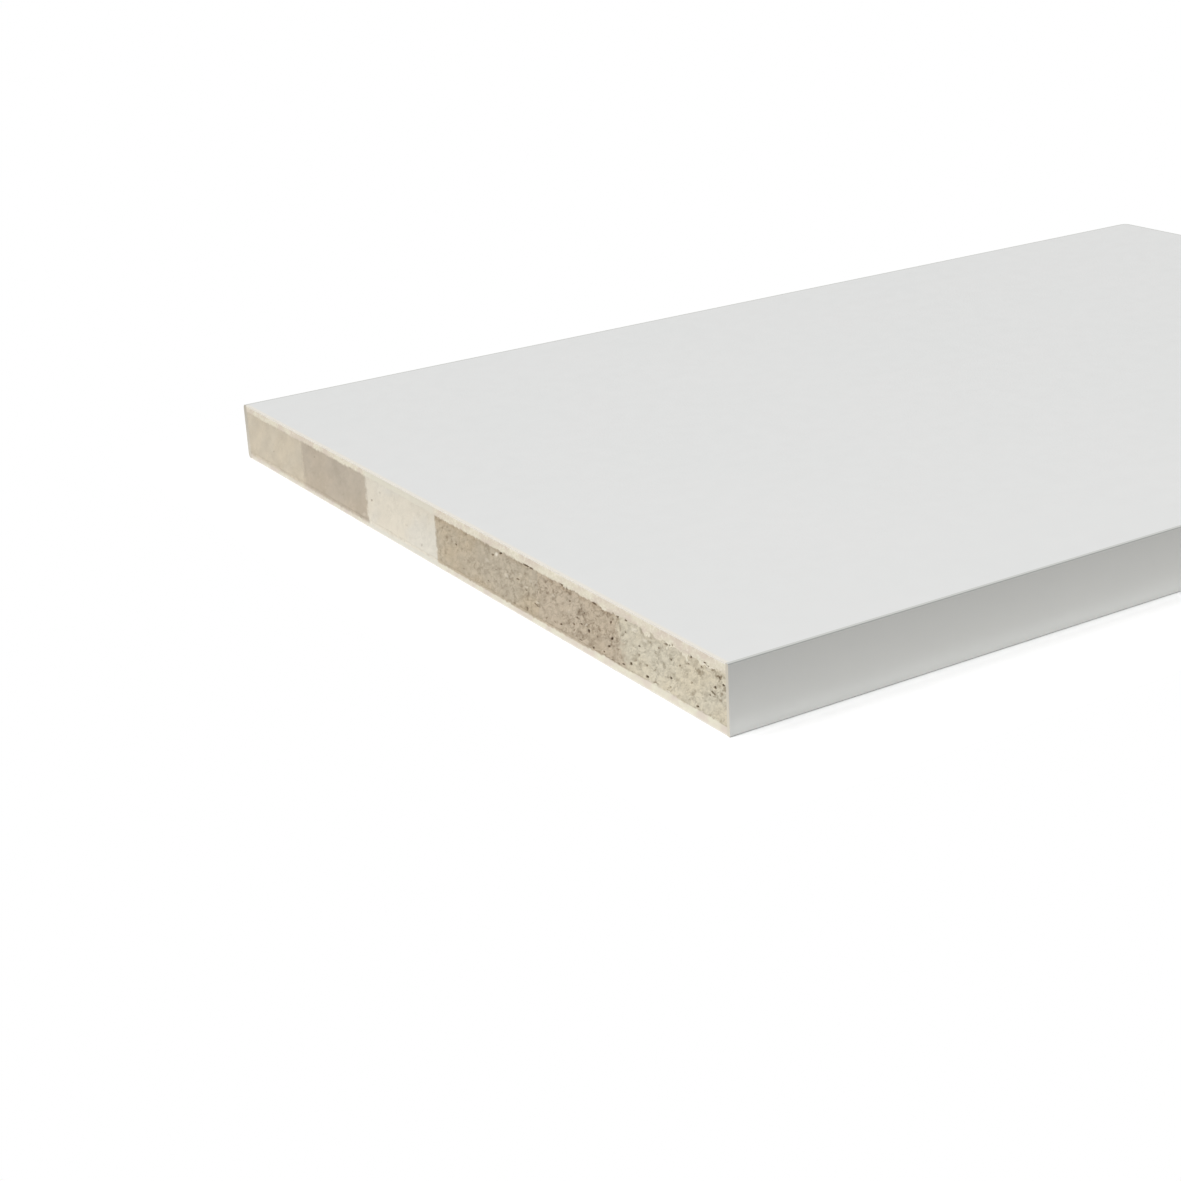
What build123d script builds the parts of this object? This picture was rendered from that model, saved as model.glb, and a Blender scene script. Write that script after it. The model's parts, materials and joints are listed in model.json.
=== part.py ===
from build123d import *
from itertools import chain, cycle
import os

# White-faced blockboard panel, in millimetres.
# The origin is under the middle of the board: +X runs along it, away from the sawn end,
# +Y runs across it towards the back edge, and +Z points up.

# Finished size of the board
board_length = 390
board_width = 268
board_thickness = 18

# Skins pressed on both faces: a white laminate over a pale wood layer
laminate_thickness = 0.4
face_layer_thickness = 2

# Thin square band on the front edge
front_band_thickness = 1
front_arris_radius = 0.3

# Thick band, bent round the panel's corner from the back edge to the far end
wrap_band_thickness = 2
wrap_arris_radius = 1.5
bend_radius = 1.5
flat_beside_arris = 0.1

# Core strips from the front edge to the back, and the blocks that each strip is jointed from
strip_widths = (44, 38.5, 55, 42.5, 44, 46)
block_lengths = (58, 39, 53)

# What the saw left of the first block of each strip, so that neighbouring joints don't line up
sawn_lengths = (35, 19, 33, 20, 34, 19)

# The panel is the board without its bands: the skins and the core share its outline
panel_start_x = -board_length / 2
panel_start_y = -board_width / 2 + front_band_thickness
panel_length = board_length - wrap_band_thickness
panel_width = board_width - front_band_thickness - wrap_band_thickness

# The core fills the height between the two pairs of skins
skin_thickness = laminate_thickness + face_layer_thickness
core_thickness = board_thickness - 2 * skin_thickness

# The thick band keeps a narrow flat between its rounded arris and the laminate
wrap_fillet = min(wrap_arris_radius, wrap_band_thickness - flat_beside_arris)


def lay(room, sizes):
    """Lays pieces end to end over the room, as pairs of start and size.

    The last piece is cut to fit, and takes up a rest that is shorter than the core is thick."""
    pieces = []
    start = 0
    for size in sizes:
        if room - start - size < core_thickness:
            pieces.append((start, room - start))
            return pieces
        pieces.append((start, size))
        start += size


os.makedirs("parts", exist_ok=True)

# Panel outline, with the corner that the thick band bends round
with BuildSketch() as panel_outline:
    with Locations((panel_start_x, panel_start_y)):
        Rectangle(panel_length, panel_width, align=Align.MIN)
    far_corners = panel_outline.vertices().group_by(Axis.X)[-1]
    fillet(far_corners.sort_by(Axis.Y)[-1], bend_radius)

# Skins: the panel outline at four heights
skins = {
    "bottom_laminate": (0, laminate_thickness),
    "lower_face_layer": (laminate_thickness, face_layer_thickness),
    "upper_face_layer": (board_thickness - skin_thickness, face_layer_thickness),
    "top_laminate": (board_thickness - laminate_thickness, laminate_thickness),
}
for skin_name, (height, thickness) in skins.items():
    with BuildPart() as skin:
        with BuildSketch(Plane.XY.offset(height)):
            add(panel_outline.sketch)
        extrude(amount=thickness)
    skin.part.label = skin_name
    export_step(skin.part, f"parts/{skin_name}.step")

# Core: strips side by side, each one a row of blocks from the sawn end to the far end
strips = lay(panel_width, cycle(strip_widths))
for strip, (strip_start, strip_width) in enumerate(strips, start=1):
    sawn_length = sawn_lengths[(strip - 1) % len(sawn_lengths)]
    blocks = lay(panel_length, chain([sawn_length], cycle(block_lengths)))
    for number, (block_start, block_length) in enumerate(blocks, start=1):
        with BuildPart() as block:
            with BuildSketch(Plane.XY.offset(skin_thickness)):
                add(panel_outline.sketch)
                with Locations((panel_start_x + block_start, panel_start_y + strip_start)):
                    Rectangle(block_length, strip_width, align=Align.MIN, mode=Mode.INTERSECT)
            extrude(amount=core_thickness)
        block_name = f"core_strip_{strip}_block_{number}"
        block.part.label = block_name
        export_step(block.part, f"parts/{block_name}.step")

# Thick band: round the back edge, the bent corner and the far end, with both arrises rounded
with BuildPart() as wrapped_edge_band:
    with BuildSketch() as band_section:
        with Locations((panel_start_x, panel_start_y)):
            Rectangle(board_length, panel_width + wrap_band_thickness, align=Align.MIN)
        far_corners = band_section.vertices().group_by(Axis.X)[-1]
        fillet(far_corners.sort_by(Axis.Y)[-1], bend_radius + wrap_band_thickness)
        add(panel_outline.sketch, mode=Mode.SUBTRACT)
    extrude(amount=board_thickness)
    back_face = wrapped_edge_band.faces().sort_by(Axis.Y)[-1]
    end_face = wrapped_edge_band.faces().sort_by(Axis.X)[-1]
    bend_face = wrapped_edge_band.faces().filter_by(GeomType.CYLINDER).sort_by(SortBy.AREA)[-1]
    outer_edges = back_face.edges() + end_face.edges() + bend_face.edges()
    fillet(outer_edges.filter_by(Axis.Z, reverse=True), wrap_fillet)
wrapped_edge_band.part.label = "wrapped_edge_band"
export_step(wrapped_edge_band.part, "parts/wrapped_edge_band.step")

# Thin band: along the whole front edge and over the thick band's end, where it is trimmed to
# the same rounding before its own outer arrises are eased
with BuildPart() as front_edge_band:
    with BuildSketch():
        with Locations((panel_start_x, -board_width / 2)):
            Rectangle(board_length, front_band_thickness, align=Align.MIN)
    extrude(amount=board_thickness)
    trimmed_end = front_edge_band.faces().sort_by(Axis.X)[-1]
    fillet(trimmed_end.edges().filter_by(Axis.Y), wrap_fillet)
    front_face = front_edge_band.faces().sort_by(Axis.Y)[0]
    fillet(front_face.edges().sort_by(Axis.X)[1:], front_arris_radius)
front_edge_band.part.label = "front_edge_band"
export_step(front_edge_band.part, "parts/front_edge_band.step")
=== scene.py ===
"""A white-faced blockboard panel, sawn across at one end: its finishes, the light and the camera.

Places are in the board's own frame: +X runs along the board from the sawn end, +Y across it from
the front edge, and +Z up from its underside."""
import json
import math

import bpy
import numpy as np
from mathutils import Matrix, Vector


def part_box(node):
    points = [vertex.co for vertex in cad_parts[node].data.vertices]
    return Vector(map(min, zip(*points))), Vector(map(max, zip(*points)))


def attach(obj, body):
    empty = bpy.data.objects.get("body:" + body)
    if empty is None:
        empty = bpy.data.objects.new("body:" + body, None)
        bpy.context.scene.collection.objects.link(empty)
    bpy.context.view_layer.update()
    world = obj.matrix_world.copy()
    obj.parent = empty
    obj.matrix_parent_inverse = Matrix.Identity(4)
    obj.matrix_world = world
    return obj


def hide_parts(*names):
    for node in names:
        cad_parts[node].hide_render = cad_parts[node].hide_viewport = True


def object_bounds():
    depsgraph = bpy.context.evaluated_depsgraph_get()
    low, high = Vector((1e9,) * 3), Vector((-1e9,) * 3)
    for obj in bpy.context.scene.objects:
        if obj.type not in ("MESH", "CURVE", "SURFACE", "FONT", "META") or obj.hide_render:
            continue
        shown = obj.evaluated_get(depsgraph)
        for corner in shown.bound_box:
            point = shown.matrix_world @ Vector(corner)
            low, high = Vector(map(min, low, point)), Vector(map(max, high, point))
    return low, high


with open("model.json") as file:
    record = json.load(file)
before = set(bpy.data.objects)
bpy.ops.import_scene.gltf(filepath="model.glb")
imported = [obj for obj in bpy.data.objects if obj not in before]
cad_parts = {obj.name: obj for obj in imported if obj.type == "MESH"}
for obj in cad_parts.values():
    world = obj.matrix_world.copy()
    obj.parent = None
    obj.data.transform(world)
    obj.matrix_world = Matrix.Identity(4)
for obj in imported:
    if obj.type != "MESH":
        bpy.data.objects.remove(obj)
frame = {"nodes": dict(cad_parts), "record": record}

cad_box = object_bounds()
_, front_y, underside_z = cad_box[0]
scene = bpy.context.scene
mm = 0.001

# Camera: it stands off the front corner of the sawn end, a little above the board, and looks down
# along the upper face through a short telephoto lens. It leans slightly to one side.
camera_place = Vector((-446.18, -494.45, 208.67)) * mm
camera_azimuth = math.radians(-31.002)
camera_elevation = math.radians(21.356)
camera_lean = math.radians(-2.951)
camera_lens = 65.571
sensor_width = 36

camera = bpy.data.objects.new("camera", bpy.data.cameras.new("camera"))
camera.data.lens = camera_lens
camera.data.sensor_width = sensor_width
camera.data.clip_start = 10 * mm
camera.data.clip_end = 100
turn = Matrix.Rotation(camera_azimuth, 4, "Z")
tip = Matrix.Rotation(math.pi / 2 - camera_elevation, 4, "X")
lean = Matrix.Rotation(camera_lean, 4, "Z")
camera.matrix_world = Matrix.Translation(camera_place) @ turn @ tip @ lean
scene.collection.objects.link(camera)
scene.camera = camera
scene.view_settings.view_transform = "Standard"

# Studio: the board lies on a white card that is a little larger than itself, in an equally white
# room, under one broad soft lamp high on the side of the sawn end. The card lights the low parts,
# and a narrow strip lamp, which stands right before the front edge, lifts that edge's foot.
card_margin = 35 * mm
card_white = 250
lamp_towards = Vector((-0.60, -0.05, 1))
lamp_strength = 2.9
lamp_spread = math.radians(60)
strip_width = 3 * mm
strip_away = 2.5 * mm
strip_strength = 0.0007
strip_tint = (0.9, 0.96, 1)
room_light = 0.3
room_backdrop = 1


def from_display(*levels):
    """Colour from red, green and blue display levels of 0 to 255: each level's share of 255, taken
    back through the display's curve to light."""
    share = np.array(levels) / 255
    light = np.where(share > 0.04045, ((share + 0.055) / 1.055) ** 2.4, share / 12.92)
    return (*light.tolist(), 1)


class Finish:
    """A material with its shader, and a short call for each kind of node that makes a pattern."""

    def __init__(self, name, **constants):
        self.material = bpy.data.materials.new(name)
        self.material.use_nodes = True
        self.tree = self.material.node_tree
        self.shader = self.tree.nodes["Principled BSDF"]
        for socket, value in constants.items():
            self.shader.inputs[socket.replace("_", " ")].default_value = value
        place = self.node("TexCoord").outputs
        self.facing = place["Normal"]
        scaled = {0: place["Object"], "Scale": 1 / mm}
        self.place = self.node("VectorMath", scaled, operation="SCALE").outputs[0]

    def node(self, kind, inputs=(), **settings):
        """Adds a node. An input that is another node's output is linked, and any other is set."""
        made = self.tree.nodes.new("ShaderNode" + kind)
        for name, value in settings.items():
            setattr(made, name, value)
        for socket, value in dict(inputs).items():
            if isinstance(value, bpy.types.NodeSocket):
                self.tree.links.new(value, made.inputs[socket])
            else:
                made.inputs[socket].default_value = value
        return made

    def calc(self, operation, *values):
        """One step of arithmetic on numbers or outputs."""
        return self.node("Math", dict(enumerate(values)), operation=operation).outputs[0]

    def weigh(self, *pairs):
        """Sum of outputs, each taken from its middle value of a half and times its weight."""
        total = 0
        for output, weight in pairs:
            total = self.calc("ADD", total, self.calc("MULTIPLY_ADD", output, weight, -weight / 2))
        return total

    def part(self, axis, vector=None):
        """One part, 0 to 2, of the place in millimetres or of another vector."""
        return self.node("SeparateXYZ", {0: vector or self.place}).outputs[axis]

    def step(self, value, start, end, low=0, high=1):
        """Goes smoothly from low to high while the value goes from start to end."""
        sockets = {"Value": value, "From Min": start, "From Max": end, "To Min": low, "To Max": high}
        return self.node("MapRange", sockets, interpolation_type="SMOOTHSTEP").outputs[0]

    def mix(self, share, first, second, way="MIX"):
        """Mixes two colours by a share."""
        made = self.node("Mix", {0: share, 6: first, 7: second}, data_type="RGBA", blend_type=way)
        return made.outputs[2]

    def stretched(self, length, tilt=0, offset=(0, 0, 0)):
        """The place in millimetres for a pattern that is moved and drawn out to some times its
        length across the board, and then tilted in the plane of the sawn end."""
        sockets = {0: self.place, "Location": offset, "Rotation": (tilt, 0, 0), "Scale": (1, length, 1)}
        return self.node("Mapping", sockets, vector_type="TEXTURE").outputs[0]

    def noise(self, size, place=None, detail=2, rough=0.5):
        """Cloudy noise from 0 to 1, with clouds of about that size in millimetres."""
        sockets = {0: place or self.place, "Scale": 1 / size, "Detail": detail, "Roughness": rough}
        return self.node("TexNoise", sockets).outputs[0]

    def cells(self, size, place=None):
        """Uneven cells of about that size in millimetres: each one's random number from 0 to 1."""
        made = self.node("TexVoronoi", {0: place or self.place, "Scale": 1 / size})
        return self.part(0, made.outputs["Color"])

    def bump(self, height, depth, under=None):
        """Bumps of that depth in millimetres, on top of the ones under them."""
        sockets = {"Height": height, "Distance": depth * mm}
        if under:
            sockets["Normal"] = under
        return self.node("Bump", sockets).outputs[0]

    def wire(self, **sockets):
        """Links outputs to the shader's sockets."""
        for socket, output in sockets.items():
            self.tree.links.new(output, self.shader.inputs[socket.replace("_", " ")])

    def cover(self, piece):
        """Gives a piece this material alone."""
        piece.data.materials.clear()
        piece.data.materials.append(self.material)


card_paper = Finish("white_card", Roughness=0.9)
clouds = card_paper.noise(800)
shades = [from_display(*[card_white + change] * 3) for change in (0, 1)]
card_paper.wire(Base_Color=card_paper.mix(clouds, *shades))
reach_x, reach_y = cad_box[1].x + card_margin, cad_box[1].y + card_margin
corners = [(-reach_x, -reach_y, 0), (reach_x, -reach_y, 0), (reach_x, reach_y, 0), (-reach_x, reach_y, 0)]
card = bpy.data.objects.new("card", bpy.data.meshes.new("card"))
card.data.from_pydata(corners, [], [(0, 1, 2, 3)])
card_paper.cover(card)
scene.collection.objects.link(card)

lamp = bpy.data.objects.new("lamp", bpy.data.lights.new("lamp", "SUN"))
lamp.data.energy = lamp_strength
lamp.data.angle = lamp_spread
lamp.rotation_euler = lamp_towards.to_track_quat("Z", "Y").to_euler()
scene.collection.objects.link(lamp)

strip_lamp = bpy.data.objects.new("strip_lamp", bpy.data.lights.new("strip_lamp", "AREA"))
strip_lamp.data.shape = "RECTANGLE"
strip_lamp.data.size = 2 * cad_box[1].x
strip_lamp.data.size_y = strip_width
strip_lamp.data.energy = strip_strength
strip_lamp.data.color = strip_tint
strip_lamp.location = (0, front_y - strip_away, strip_width / 2)
strip_lamp.rotation_euler = (math.pi / 2, 0, 0)
strip_lamp.visible_camera = False
scene.collection.objects.link(strip_lamp)

scene.world = bpy.data.worlds.new("room")
scene.world.use_nodes = True
room = scene.world.node_tree
light = room.nodes["Background"]
light.inputs["Color"].default_value = (1, 1, 1, 1)
light.inputs["Strength"].default_value = room_light
backdrop = room.nodes.new("ShaderNodeBackground")
backdrop.inputs["Strength"].default_value = room_backdrop
backdrop.inputs["Color"].default_value = (1, 1, 1, 1)
choice = room.nodes.new("ShaderNodeMixShader")
ray = room.nodes.new("ShaderNodeLightPath")
room.links.new(ray.outputs["Is Camera Ray"], choice.inputs[0])
room.links.new(light.outputs[0], choice.inputs[1])
room.links.new(backdrop.outputs[0], choice.inputs[2])
room.links.new(choice.outputs[0], room.nodes["World Output"].inputs["Surface"])

# White skins: the top and bottom laminates, resin-soaked paper pressed on both faces. They are
# satin, with a very fine pebbled texture, and show a warmer edge where the saw went through. A
# narrow rim of the face beside that edge is painted lighter in the edge's colour: a painted
# highlight. The lower one's edge is painted a little darker: painted shade.
laminate_white = from_display(224, 224, 223)
laminate_shade = from_display(222, 223, 222)
laminate_edge_and_rim_highlight = from_display(231, 226, 216)
laminate_shaded_low_edge = from_display(217, 212, 205)
highlight_rim_width = 1.5
board_middle = (cad_box[0].z + cad_box[1].z) / 2 / mm
lower_part, upper_part = board_middle - 5, board_middle + 5

laminate = Finish("white_laminate", Specular_IOR_Level=0.4)
pebbles = laminate.noise(0.5, detail=3)
white = laminate.mix(laminate.noise(45), laminate_white, laminate_shade)
height = laminate.part(2)
# The lower laminate's edge takes a darker colour: painted shade
edge = laminate.mix(laminate.step(height, lower_part, upper_part), laminate_shaded_low_edge, laminate_edge_and_rim_highlight)
sawn_x = cad_box[0].x / mm
# Painted highlight: a narrow rim of the face beside the sawn end takes the edge's lighter colour
sawn = laminate.step(laminate.part(0), sawn_x + highlight_rim_width, sawn_x + highlight_rim_width / 5)
laminate.wire(
    Base_Color=laminate.mix(sawn, white, edge),
    Roughness=laminate.step(laminate.noise(6), 0.2, 0.8, 0.42, 0.5),
    Normal=laminate.bump(pebbles, 0.01),
)
for name in ("top_laminate", "bottom_laminate"):
    laminate.cover(frame["nodes"][name])

# Face layers: a pale cream wood layer glued over each side of the core. Only its sawn end shows,
# lighter towards the laminate and clouded along the board's width. It is palest over the fourth
# strip. The lower layer is painted darker and browner, most towards the back: painted shade.
layer_pinkish = from_display(215, 203, 188)
layer_yellowish = from_display(222, 216, 195)
layer_pale = from_display(235, 228, 213)
layer_over_pale = from_display(219, 215, 200)
low_shade_front, low_shade_back = (0.925, 0.945, 0.98, 1), (0.86, 0.87, 0.92, 1)
fibre_size = 0.6
patch_size = 3.5
layer_stretch = 1.7
chip_tilt = math.radians(-28)
layer_low, layer_high = (corner.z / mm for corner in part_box("upper_face_layer"))
pale_from, pale_to = (corner.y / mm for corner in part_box("core_strip_4_block_1"))
front, back = (corner.y / mm for corner in cad_box)


def off_middle(finish):
    """How far a point lies above or below the board's middle height, in millimetres."""
    return finish.calc("ABSOLUTE", finish.calc("SUBTRACT", finish.part(2), board_middle))


def cream(finish):
    """Colour of the face layers at a point: pinkish and yellowish clouds with fine pale fibres. The
    lower layer is painted darker and browner: painted shade.
    """
    place = finish.stretched(layer_stretch, chip_tilt)
    fibres = finish.noise(fibre_size, place, detail=4, rough=0.6)
    patches = finish.noise(patch_size, place)
    along, height = finish.part(1), finish.part(2)
    outer, rise = layer_high - board_middle, 0.7
    outwards_and_low_shade = finish.step(off_middle(finish), outer - rise, outer, -0.1, 0.25)
    # Painted shade: the lower layer is made darker
    outwards_and_low_shade = finish.calc("ADD", outwards_and_low_shade, finish.step(height, lower_part, upper_part, -0.5, 0))
    light = finish.calc("ADD", outwards_and_low_shade, finish.weigh((fibres, 3.6), (patches, 2)))
    colour = finish.mix(finish.step(patches, 0.35, 0.65), layer_pinkish, layer_yellowish)
    colour = finish.mix(finish.step(light, -0.4, 1), colour, layer_pale)
    pale_run = finish.step(along, pale_from - 2, pale_from + 2, 0, 0.8)
    pale_run = finish.calc("MULTIPLY", pale_run, finish.step(along, pale_to + 2, pale_to - 2))
    colour = finish.mix(pale_run, colour, layer_over_pale)
    # Painted shade: the lower layer is darkened and browned, most towards the back
    low_painted_shade = finish.mix(finish.step(along, front + 20, back - 20), low_shade_front, low_shade_back)
    low = finish.step(height, board_middle + 3, board_middle - 3)
    return finish.mix(low, colour, finish.mix(1, colour, low_painted_shade, "MULTIPLY"))


# Core: six strips side by side, each butt-jointed from short blocks of pressed chips in a pale,
# a middle and a dark batch. Only the sawn blocks at one end show, and glue stains their rims.
core_tones = {
    "core_pale": from_display(208, 202, 187),
    "core_mid": from_display(189, 180, 160),
    "core_dark": from_display(172, 160, 140),
}
chip_size = 0.9
fleck_size = 0.7
grain_size = 0.6
lump_size = 1.4
thread_size = 2.2
cloud_size = 5
drift_size = 12
chip_stretch = 1.8
warm_tint, cool_tint = (1.0155, 0.998, 0.9675, 1), (0.9795, 0.998, 1.0235, 1)
shadow_tint = (0.45, 0.4, 0.34, 1)
glue_tint = (0.8, 0.75, 0.7, 1)
# Painted shade in the pits: their colour is multiplied by this
pit_shade_tint = (0.36, 0.3, 0.24, 1)
coarse_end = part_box("core_strip_3_block_1")[1].y / mm
rough_from = front + 14
dip_size, fine_dip_size = 4, 1.2
uneven_size = 1.5


def below_glue(finish):
    """How far a point lies under a face layer, in millimetres. Fine noise makes the glue line
    uneven. The layers dip into the coarse strips here and there: what noise of two sizes rises
    over its middle value is taken off. The upper layer is a little thicker, most over those
    strips, and the lower one is thinner away from the front."""
    along = finish.part(1)
    dips = finish.weigh((finish.noise(dip_size), 6), (finish.noise(fine_dip_size), 2))
    dips = finish.calc("MAXIMUM", finish.calc("ADD", dips, 0.3), 0)
    upper = finish.step(finish.part(2), board_middle - 3, board_middle + 3)
    coarse = finish.step(along, coarse_end - 50, coarse_end - 130, -0.1, -1.3)
    coarse = finish.calc("MULTIPLY", coarse, finish.calc("MULTIPLY_ADD", upper, 0.7, 0.3))
    depth = finish.calc("SUBTRACT", layer_low - board_middle, off_middle(finish))
    depth = finish.calc("ADD", finish.weigh((finish.noise(uneven_size), 1.2)), depth)
    depth = finish.calc("MULTIPLY_ADD", dips, coarse, depth)
    thick = finish.step(along, coarse_end + 4, coarse_end - 4, -0.12, -0.4)
    depth = finish.calc("MULTIPLY_ADD", thick, upper, depth)
    thin = finish.step(along, front + 25, front + 85, 0, 0.6)
    return finish.calc("MULTIPLY_ADD", thin, finish.calc("SUBTRACT", 1, upper), depth)


def chip_finish(name, tones, speckle, cloud, drift, stain, offset, joints=()):
    """Pressed chips: every chip has its own shade, finer grains and thin dark threads cross them,
    and slow clouds and tints drift over them. Speckle, cloud, drift and stain set how strong each
    is, and the offset picks another stretch of the pattern. Two neighbouring tones meet in a ragged
    smear: each joint has its place across the board, its half-width, and how far it leans for each
    millimetre of height."""
    chips = Finish(name, Specular_IOR_Level=0.2)
    place = chips.stretched(chip_stretch, chip_tilt, offset)
    bend = chips.node("TexNoise", {0: place, "Scale": 0.9}).outputs["Color"]
    place = chips.node("VectorMath", {0: bend, 1: (1.2,) * 3, 2: place}, operation="MULTIPLY_ADD")
    place = place.outputs[0]
    shade, flecks = chips.cells(chip_size, place), chips.cells(fleck_size, place)
    grains = chips.noise(grain_size, place)
    clouds = chips.noise(cloud_size, place, detail=3)
    along, height = chips.part(1), chips.part(2)
    patchy = chips.step(chips.noise(patch_size, place), 0.38, 0.62, 0.45, 1.3)
    patchy = chips.calc("MULTIPLY", patchy, chips.step(along, coarse_end, coarse_end - 90, 0.75, 1.1))
    patchy = chips.calc("MULTIPLY", patchy, chips.step(along, rough_from, rough_from - 8, 1, 1.35))
    lumps = chips.noise(lump_size, place)
    chipped = chips.weigh((shade, speckle * 0.6), (grains, speckle * 2.4), (lumps, speckle * 4.5))
    bright = chips.calc("MULTIPLY_ADD", chipped, patchy, chips.weigh((clouds, cloud * 3)))
    bright = chips.calc("ADD", bright, chips.step(flecks, 0.92, 0.97, 1.03, 1.03 + speckle * 0.4))
    bright = chips.calc("SMOOTH_MIN", bright, 1.15, 0.15)
    swirl = chips.noise(thread_size, place, detail=1)
    swirl = chips.calc("ABSOLUTE", chips.calc("SUBTRACT", swirl, 0.5))
    threads = chips.calc("MULTIPLY", chips.step(swirl, 0.08, 0), patchy)
    bright = chips.calc("MULTIPLY", bright, chips.step(threads, 0, 1.4, 1, 1 - speckle * 0.6))

    wood = tones[0]
    ragged = chips.weigh((chips.noise(1.5), 4))
    above_middle = chips.calc("SUBTRACT", height, board_middle)
    for (joint, half, lean), tone in zip(joints, tones[1:]):
        across = chips.calc("MULTIPLY_ADD", ragged, half, along)
        across = chips.calc("MULTIPLY_ADD", above_middle, -lean, across)
        wood = chips.mix(chips.step(across, joint - half, joint + half), wood, tone)
    cool = chips.step(chips.noise(drift_size, place), 0.38, 0.62, 0.5 - drift / 2, 0.5 + drift / 2)
    wood = chips.mix(1, wood, chips.mix(cool, warm_tint, cool_tint), "MULTIPLY")
    lit = chips.calc("MULTIPLY_ADD", bright, 1 / 0.6, -0.4 / 0.6)
    wood = chips.mix(lit, chips.mix(1, wood, shadow_tint, "MULTIPLY"), wood)
    wood = chips.mix(1, wood, chips.calc("MAXIMUM", bright, 1), "MULTIPLY")
    # Painted light and shade: the colour is made a little darker towards the bottom and lighter towards
    # the top
    rise = chips.step(height, board_middle - 7, board_middle + 7, 0.96, 1.03)
    wood = chips.mix(1, wood, rise, "MULTIPLY")
    under = below_glue(chips)
    streaks = chips.step(chips.noise(4), 0.42, 0.58, stain / 5, stain)
    streaks = chips.calc("MULTIPLY", streaks, chips.step(height, board_middle, layer_low, 0.2, 1))
    wet = chips.calc("MULTIPLY", streaks, chips.step(under, 1.8, 0.3))
    wood = chips.mix(wet, wood, glue_tint, "MULTIPLY")
    blurred = chips.step(along, coarse_end, coarse_end + 40, -0.35, -0.9)
    wood = chips.mix(chips.step(under, 0.15, blurred), wood, cream(chips))
    pale_chip = chips.node("Attribute", attribute_name="pale_chip").outputs["Fac"]
    # The pits are painted dark by their depth: painted shade in them
    pit_shade = chips.node("Attribute", attribute_name="pit_shade").outputs["Fac"]
    wood = chips.mix(pale_chip, wood, layer_pale)
    chips.wire(
        Base_Color=chips.mix(pit_shade, wood, pit_shade_tint, "MULTIPLY"),
        Roughness=chips.step(grains, 0.3, 0.7, 0.75, 0.92),
        Normal=chips.bump(grains, speckle / 2),
    )
    return chips


inner_finishes = {
    slot: chip_finish(slot, [tone], 0.15, 0.1, 0.4, 0.3, (number * 31, 0, 0))
    for number, (slot, tone) in enumerate(core_tones.items())
}
slots = {part["node"]: part["material_slot"] for part in frame["record"]["subparts"]}
for node, slot in slots.items():
    if slot in inner_finishes:
        inner_finishes[slot].cover(frame["nodes"][node])

# Sawn ends: the first block of each strip, which the saw cut through and left rough. Chips were
# torn out of it, deepest in the coarse front strips, and its rim is a hair below its neighbours.
grid_step = 0.15 * mm
rim_ease = 0.02 * mm
rim_reach = 0.4 * mm
fine_grain, broad_grain = 0.7 * mm, 2.5 * mm
fine_depth, broad_depth, mean_depth = 0.03 * mm, 0.015 * mm, 0.08 * mm
edge_depth = 0.04 * mm
# Depth at which a pit's painted shade is full
pit_shade_depth = 0.25 * mm


def grained(rng, shape, size):
    """Random relief with grains of about one size: white noise whose waves are kept near one
    wave for each size, by a bell curve over their length, and scaled to a spread of one."""
    waves = np.hypot(np.fft.fftfreq(shape[0], grid_step)[:, None], np.fft.rfftfreq(shape[1], grid_step))
    kept = np.exp(-((waves * size - 1) / 0.5) ** 2)
    relief = np.fft.irfft2(np.fft.rfft2(rng.standard_normal(shape)) * kept, shape)
    return relief / relief.std()


def dished(across, up, spots):
    """Depth of oval dishes: each has its middle, its half-length, its half-width, its tilt and a
    depth, which falls to nothing at the rim as the root of one less the square of the distance.
    Where dishes meet, the deepest counts."""
    middle_y, middle_z, half_length, half_width, tilt, depth = spots.T[:, :, None, None]
    aside, above = across - middle_y, up - middle_z
    along = (aside * np.cos(tilt) + above * np.sin(tilt)) / half_length
    over = (above * np.cos(tilt) - aside * np.sin(tilt)) / half_width
    return (depth * np.sqrt(np.clip(1 - along**2 - over**2, 0, 1))).max(0)


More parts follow.
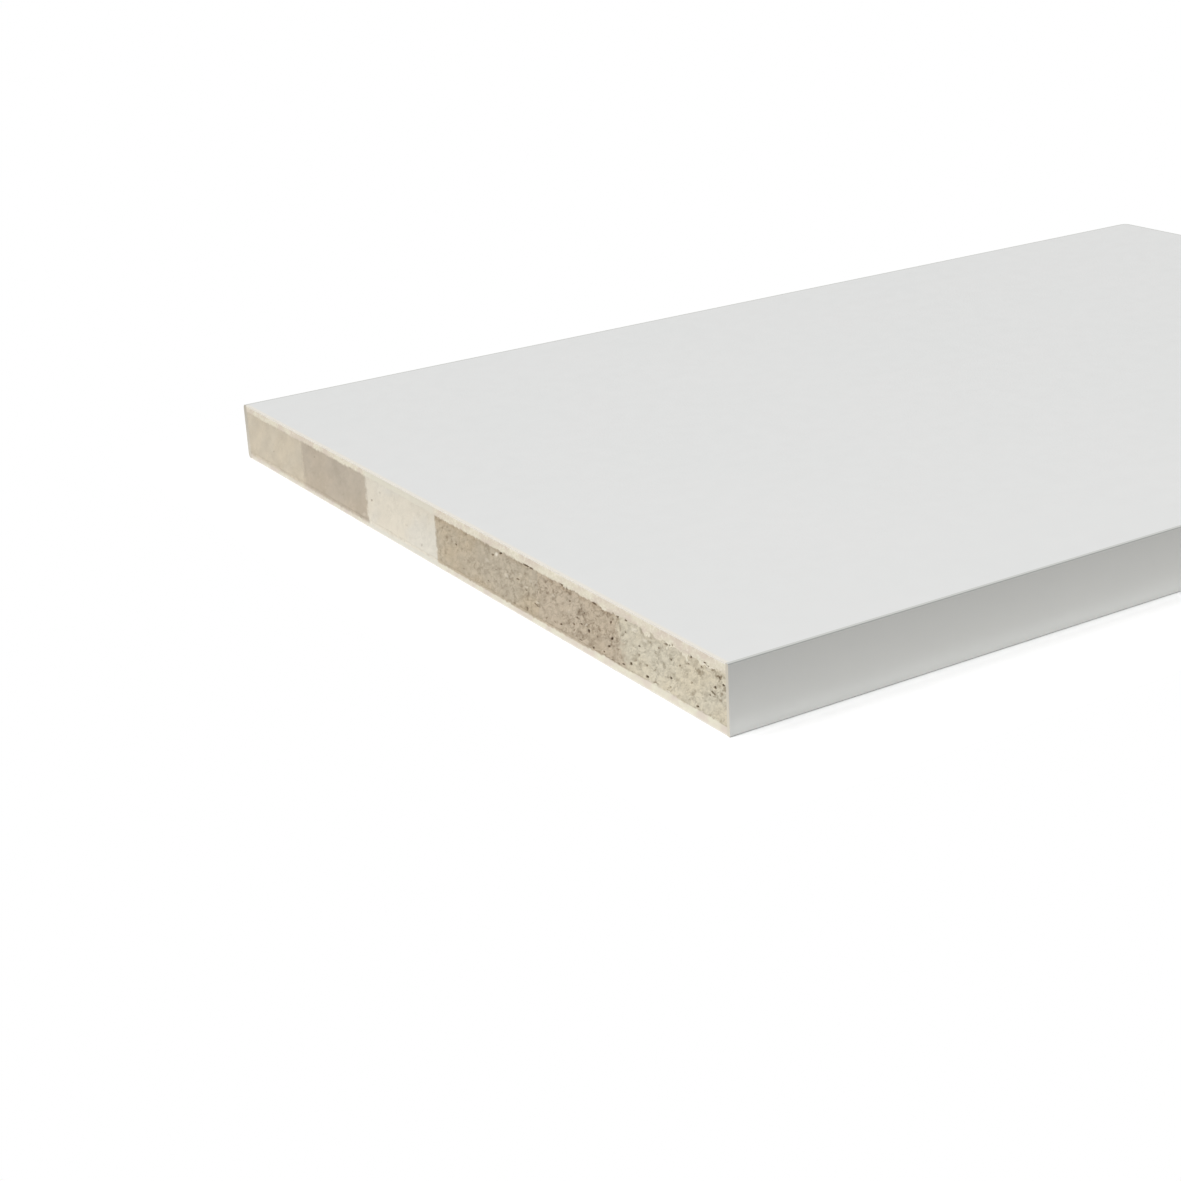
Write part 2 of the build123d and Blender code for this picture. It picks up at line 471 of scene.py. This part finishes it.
def sawn_block(name, low, high, pits, pale_chips, coarseness, rng):
    """A closed block whose sawn end is a fine grid, pushed in by its eased rim, by grains of two
    sizes and by the pits. On each side a fan of thin triangles joins the grid's rim to the far
    end's corners."""
    counts = [round((high[axis] - low[axis]) / grid_step) + 1 for axis in (1, 2)]
    lines = [np.linspace(low[axis], high[axis], count) for axis, count in zip((1, 2), counts)]
    across, up = np.meshgrid(*lines, indexing="ij")
    edge = np.minimum.reduce([across - low[1], high[1] - across, up - low[2], high[2] - up])
    rim = np.clip(1 - edge / rim_reach, 0, 1) ** 2 * rim_ease
    fine, broad = grained(rng, counts, fine_grain), grained(rng, counts, broad_grain)
    grains = np.clip(fine_depth * fine + broad_depth * broad + mean_depth, 0, None)
    torn = dished(across, up, pits)
    depth = coarseness * (np.where(edge > 0, grains, edge_depth) + rim) + torn

    grid = np.stack([low[0] + depth, across, up], axis=-1).reshape(-1, 3)
    far = np.array([high, high, high, high])
    far[[0, 3], 1] = low[1]
    far[[0, 1], 2] = low[2]
    number = np.arange(grid.shape[0]).reshape(counts)
    quads = np.stack([number[:-1, :-1], number[:-1, 1:], number[1:, 1:], number[1:, :-1]], axis=-1)
    triangles = []
    sides = (number[:, 0], number[-1, :], number[::-1, -1], number[0, ::-1])
    for side, rim_line in enumerate(sides):
        here, there = len(grid) + side, len(grid) + (side + 1) % 4
        middle = len(rim_line) // 2
        apex = np.where(np.arange(len(rim_line) - 1) < middle, here, there)
        triangles += np.stack([rim_line[:-1], rim_line[1:], apex], axis=-1).tolist()
        triangles.append([int(rim_line[middle]), there, here])
    back = [[len(grid) + corner for corner in range(4)]]

    mesh = bpy.data.meshes.new(name)
    mesh.from_pydata(np.vstack([grid, far]).tolist(), [], quads.reshape(-1, 4).tolist() + triangles + back)
    smooth = np.arange(len(mesh.polygons)) < quads.size // 4
    mesh.polygons.foreach_set("use_smooth", smooth)
    # Each point's share of pit depth sets the pits' painted shade
    shares = {"pit_shade": torn / pit_shade_depth, "pale_chip": dished(across, up, pale_chips) ** 1.5}
    for spot, share in shares.items():
        values = np.append(np.clip(share, 0, 1).ravel(), np.zeros(4))
        mesh.attributes.new(spot, "FLOAT", "POINT").data.foreach_set("value", values.astype(np.float32))
    piece = bpy.data.objects.new(name, mesh)
    scene.collection.objects.link(piece)
    return piece


# Each strip's tone, its speckle, clouds, drift and glue stain, how coarse its chips are, and its
# loose pits for each square centimetre. The front strips are the coarse ones. The joints on both
# sides of the second strip are the most smeared, and the first joint leans.
end_blocks = {
    1: (from_display(197, 189, 170), 0.26, 0.06, 0.65, 0.3, 0.8, 3),
    2: (from_display(181, 168, 149), 0.34, 0.06, 0.35, 0.8, 0.8, 2),
    3: (from_display(179, 167, 147), 0.26, 0.14, 1, 0.6, 0.6, 1),
    4: (from_display(211, 205, 192), 0.06, 0.07, 0.65, 0.05, 0.4, 0.1),
    5: (from_display(179, 168, 152), 0.06, 0.13, 0.45, 0.1, 0.3, 0.1),
    6: (from_display(195, 185, 167), 0.045, 0.14, 0.45, 0, 0.3, 0.1),
}
joint_blurs = (2.2, 2.5, 0.5, 1, 1.4)
joint_leans = (0.3, 0, 0, 0, 0)

# The pits that stand out: place across and up in the sawn end, half-length, half-width and depth
# in millimetres, and tilt in degrees
plain_pits = {
    1: [
        (36.5, 10.2, 0.45, 0.25, 0.6, -20), (40.6, 4.3, 0.65, 0.4, 0.8, -35),
        (44, 3, 0.7, 0.25, 0.5, -15), (33.6, 3.3, 0.7, 0.35, 0.8, -20), (23.4, 6.5, 0.6, 0.3, 0.7, -20),
        (23.1, 11.2, 0.4, 0.25, 0.4, -20), (14.8, 14.7, 0.45, 0.3, 0.8, -40),
        (9.2, 15.1, 0.65, 0.25, 0.6, 0), (10.6, 13.7, 0.4, 0.25, 0.4, -20),
        (3.5, 13.3, 0.4, 0.3, 0.5, -30), (5.4, 10.4, 0.65, 0.35, 0.9, -30),
        (2.1, 12.1, 0.55, 0.3, 0.7, -25), (6.2, 8.7, 0.9, 0.3, 0.8, 12),
        (12.7, 3.1, 0.65, 0.25, 0.6, -15), (25, 14.5, 0.9, 0.3, 0.2, -10),
        (42.1, 15, 0.55, 0.25, 0.5, -15), (19.5, 11, 0.6, 0.25, 0.2, -30),
    ],
    2: [
        (49, 12.3, 0.65, 0.3, 0.4, -45), (48.8, 8.1, 0.7, 0.35, 0.8, -35),
        (50.3, 5.6, 0.6, 0.3, 0.8, -25), (59.5, 6.6, 0.65, 0.45, 1, -40),
        (57.6, 2.8, 0.65, 0.25, 0.6, -10), (63.5, 2.9, 0.7, 0.2, 0.4, 0),
        (72.9, 4.1, 0.65, 0.25, 0.4, -20), (62.8, 7.4, 0.6, 0.3, 0.3, -20),
        (66.5, 6.2, 0.5, 0.35, 0.3, -40), (71.5, 15.2, 0.8, 0.25, 0.5, 0),
        (56.3, 14.9, 1.2, 0.3, 0.3, 0), (45.6, 14.8, 0.8, 0.25, 0.3, -10),
        (64.7, 8.5, 0.6, 0.3, 0.2, -20),
    ],
    3: [
        (102.1, 14.7, 0.9, 0.25, 0.4, -25), (89, 15.2, 1.6, 0.25, 0.5, 0),
        (86.3, 15.1, 1, 0.25, 0.4, 0), (84.7, 5.6, 1.2, 0.2, 0.6, 10), (93.8, 10, 0.9, 0.2, 0.3, -12),
        (83.9, 9.4, 1.2, 0.1, 0.4, -90), (106.5, 13, 0.8, 0.3, 0.2, -20), (89.7, 3, 0.8, 0.5, 0.2, -60),
    ],
    4: [
        (172, 13, 0.8, 0.4, 0.06, -20), (156.3, 7.4, 0.9, 0.4, 0.05, 0),
        (147.7, 3.9, 0.7, 0.4, 0.08, -30),
    ],
}

# The pale chips that stand out, with the same sizes and a share of paleness
plain_chips = {
    1: [(34, 12.5, 1.2, 0.6, 0.6, 0), (38.5, 13.7, 1.6, 0.7, 0.6, -10), (8, 14, 1, 0.4, 0.6, -10)],
    2: [(47, 14.2, 1.4, 0.4, 0.35, -15), (60.5, 8, 1, 0.4, 0.5, -30), (76, 11, 1, 0.5, 0.4, 0)],
    3: [
        (104.4, 13.8, 1.1, 0.6, 0.9, -30), (99.7, 9.3, 1.2, 0.7, 0.5, 0),
        (109.8, 10.6, 1.3, 0.7, 0.4, 0), (87, 11.5, 1, 0.5, 0.4, 0), (84.2, 6.5, 0.9, 0.35, 0.6, 0),
        (89.4, 9.1, 1.1, 0.35, 0.5, -8), (94.7, 11.2, 1.1, 0.4, 0.3, -5), (80.5, 9.3, 0.7, 0.7, 0.3, 0),
    ],
    4: [(151, 12, 1.6, 0.8, 0.4, 0)],
}


def placed(spots):
    """The listed spots in metres and radians, in the order that dishes are given in."""
    across, up, half_length, half_width, depth, tilt = np.array(spots).T
    metres = [front_y + across * mm, underside_z + up * mm, half_length * mm, half_width * mm]
    return np.stack([*metres, np.radians(tilt), depth], axis=1)


def scattered(rng, low, high, density, smallest, largest):
    """Loose spots over a block's end: random places, with half-lengths between two sizes, about
    twice as long as wide, and tilted as chips lie in a board that was pressed flat."""
    area = (high[1] - low[1]) * (high[2] - low[2]) / 1e-4
    count = max(1, round(density * area))
    places = low[1:] + (high - low)[1:] * rng.uniform(0.02, 0.98, (count, 2))
    halves = rng.uniform(smallest, largest, (count, 1)) * mm * rng.uniform((1, 0.4), (1, 0.7), (count, 2))
    return np.hstack([places, halves, rng.uniform((-0.9, 0.1), (0.3, 0.35), (count, 2))])


tones = [tone for tone, *_ in end_blocks.values()]
ends = [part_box(f"core_strip_{strip}_block_1")[1].y / mm for strip in end_blocks]
joints = list(zip(ends, joint_blurs, joint_leans))
for strip, (_, speckle, cloud, drift, stain, coarseness, loose) in end_blocks.items():
    node = f"core_strip_{strip}_block_1"
    low, high = (np.array(corner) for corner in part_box(node))
    rng = np.random.default_rng(strip)
    pits = scattered(rng, low, high, loose, 0.2, 0.5)
    pale_chips = scattered(rng, low, high, loose / 4, 0.5, 1.3)
    if strip in plain_pits:
        pits = np.vstack([pits, placed(plain_pits[strip])])
        pale_chips = np.vstack([pale_chips, placed(plain_chips[strip])])
    pits[:, 5] *= mm
    piece = sawn_block(f"core_strip_{strip}_sawn_end", low, high, pits, pale_chips, coarseness, rng)
    offset = (strip * 37, strip * 11, 0)
    chip_finish(piece.name, tones, speckle, cloud, drift, stain, offset, joints).cover(piece)
    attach(piece, "root")
    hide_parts(node)

# The face layers' own sawn ends: the saw drew the strips' tones into their inner edges
layer_finish = chip_finish("cream_face_layer", tones, 0.15, 0.1, 0.4, 0.1, (0, 0, 0), joints)
for name in ("upper_face_layer", "lower_face_layer"):
    layer_finish.cover(frame["nodes"][name])

# Edge bands: a thin square band glued along the front edge, and a thick one with rounded arrises
# bent round the back edge and the far end. Both are white outside and cream where they are cut.
# Their upward-facing surfaces are painted grey, and the front band's arrises darker grey: painted
# shade, and a painted contact shadow at the front band's foot.
band_white = from_display(214, 214, 210)
band_shade = from_display(212, 212, 208)
band_cut_front, band_cut_back = from_display(200, 193, 178), from_display(191, 184, 170)
arris_shade_grey = from_display(200, 201, 197)
front_arris_shade_grey = from_display(168, 170, 167)

band = Finish("white_edge_band", Specular_IOR_Level=0.4)
grain = band.noise(0.7, detail=3)
white = band.mix(band.noise(30), band_white, band_shade)
upwards = band.part(2, band.facing)
# Painted shade: surfaces facing upwards, the rounded arrises and the tops, are painted grey
white = band.mix(band.step(upwards, 0.3, 0.9), white, arris_shade_grey)
# Painted shade on the front band's top arris, and a painted contact shadow on its bottom arris
forwards = band.step(band.part(1, band.facing), -0.2, -0.5)
sloping = band.step(band.calc("ABSOLUTE", upwards), 0.05, 0.6)
shaded_front_arris = band.calc("MULTIPLY", forwards, sloping)
white = band.mix(shaded_front_arris, white, front_arris_shade_grey)
sawn = band.step(band.part(0, band.facing), -0.9, -0.99)
cut = band.mix(band.step(band.part(1), front, back), band_cut_front, band_cut_back)
band.wire(
    Base_Color=band.mix(sawn, white, cut),
    Roughness=band.step(band.noise(5), 0.2, 0.8, 0.45, 0.53),
    Normal=band.bump(grain, 0.01),
)
for name in ("front_edge_band", "wrapped_edge_band"):
    band.cover(frame["nodes"][name])
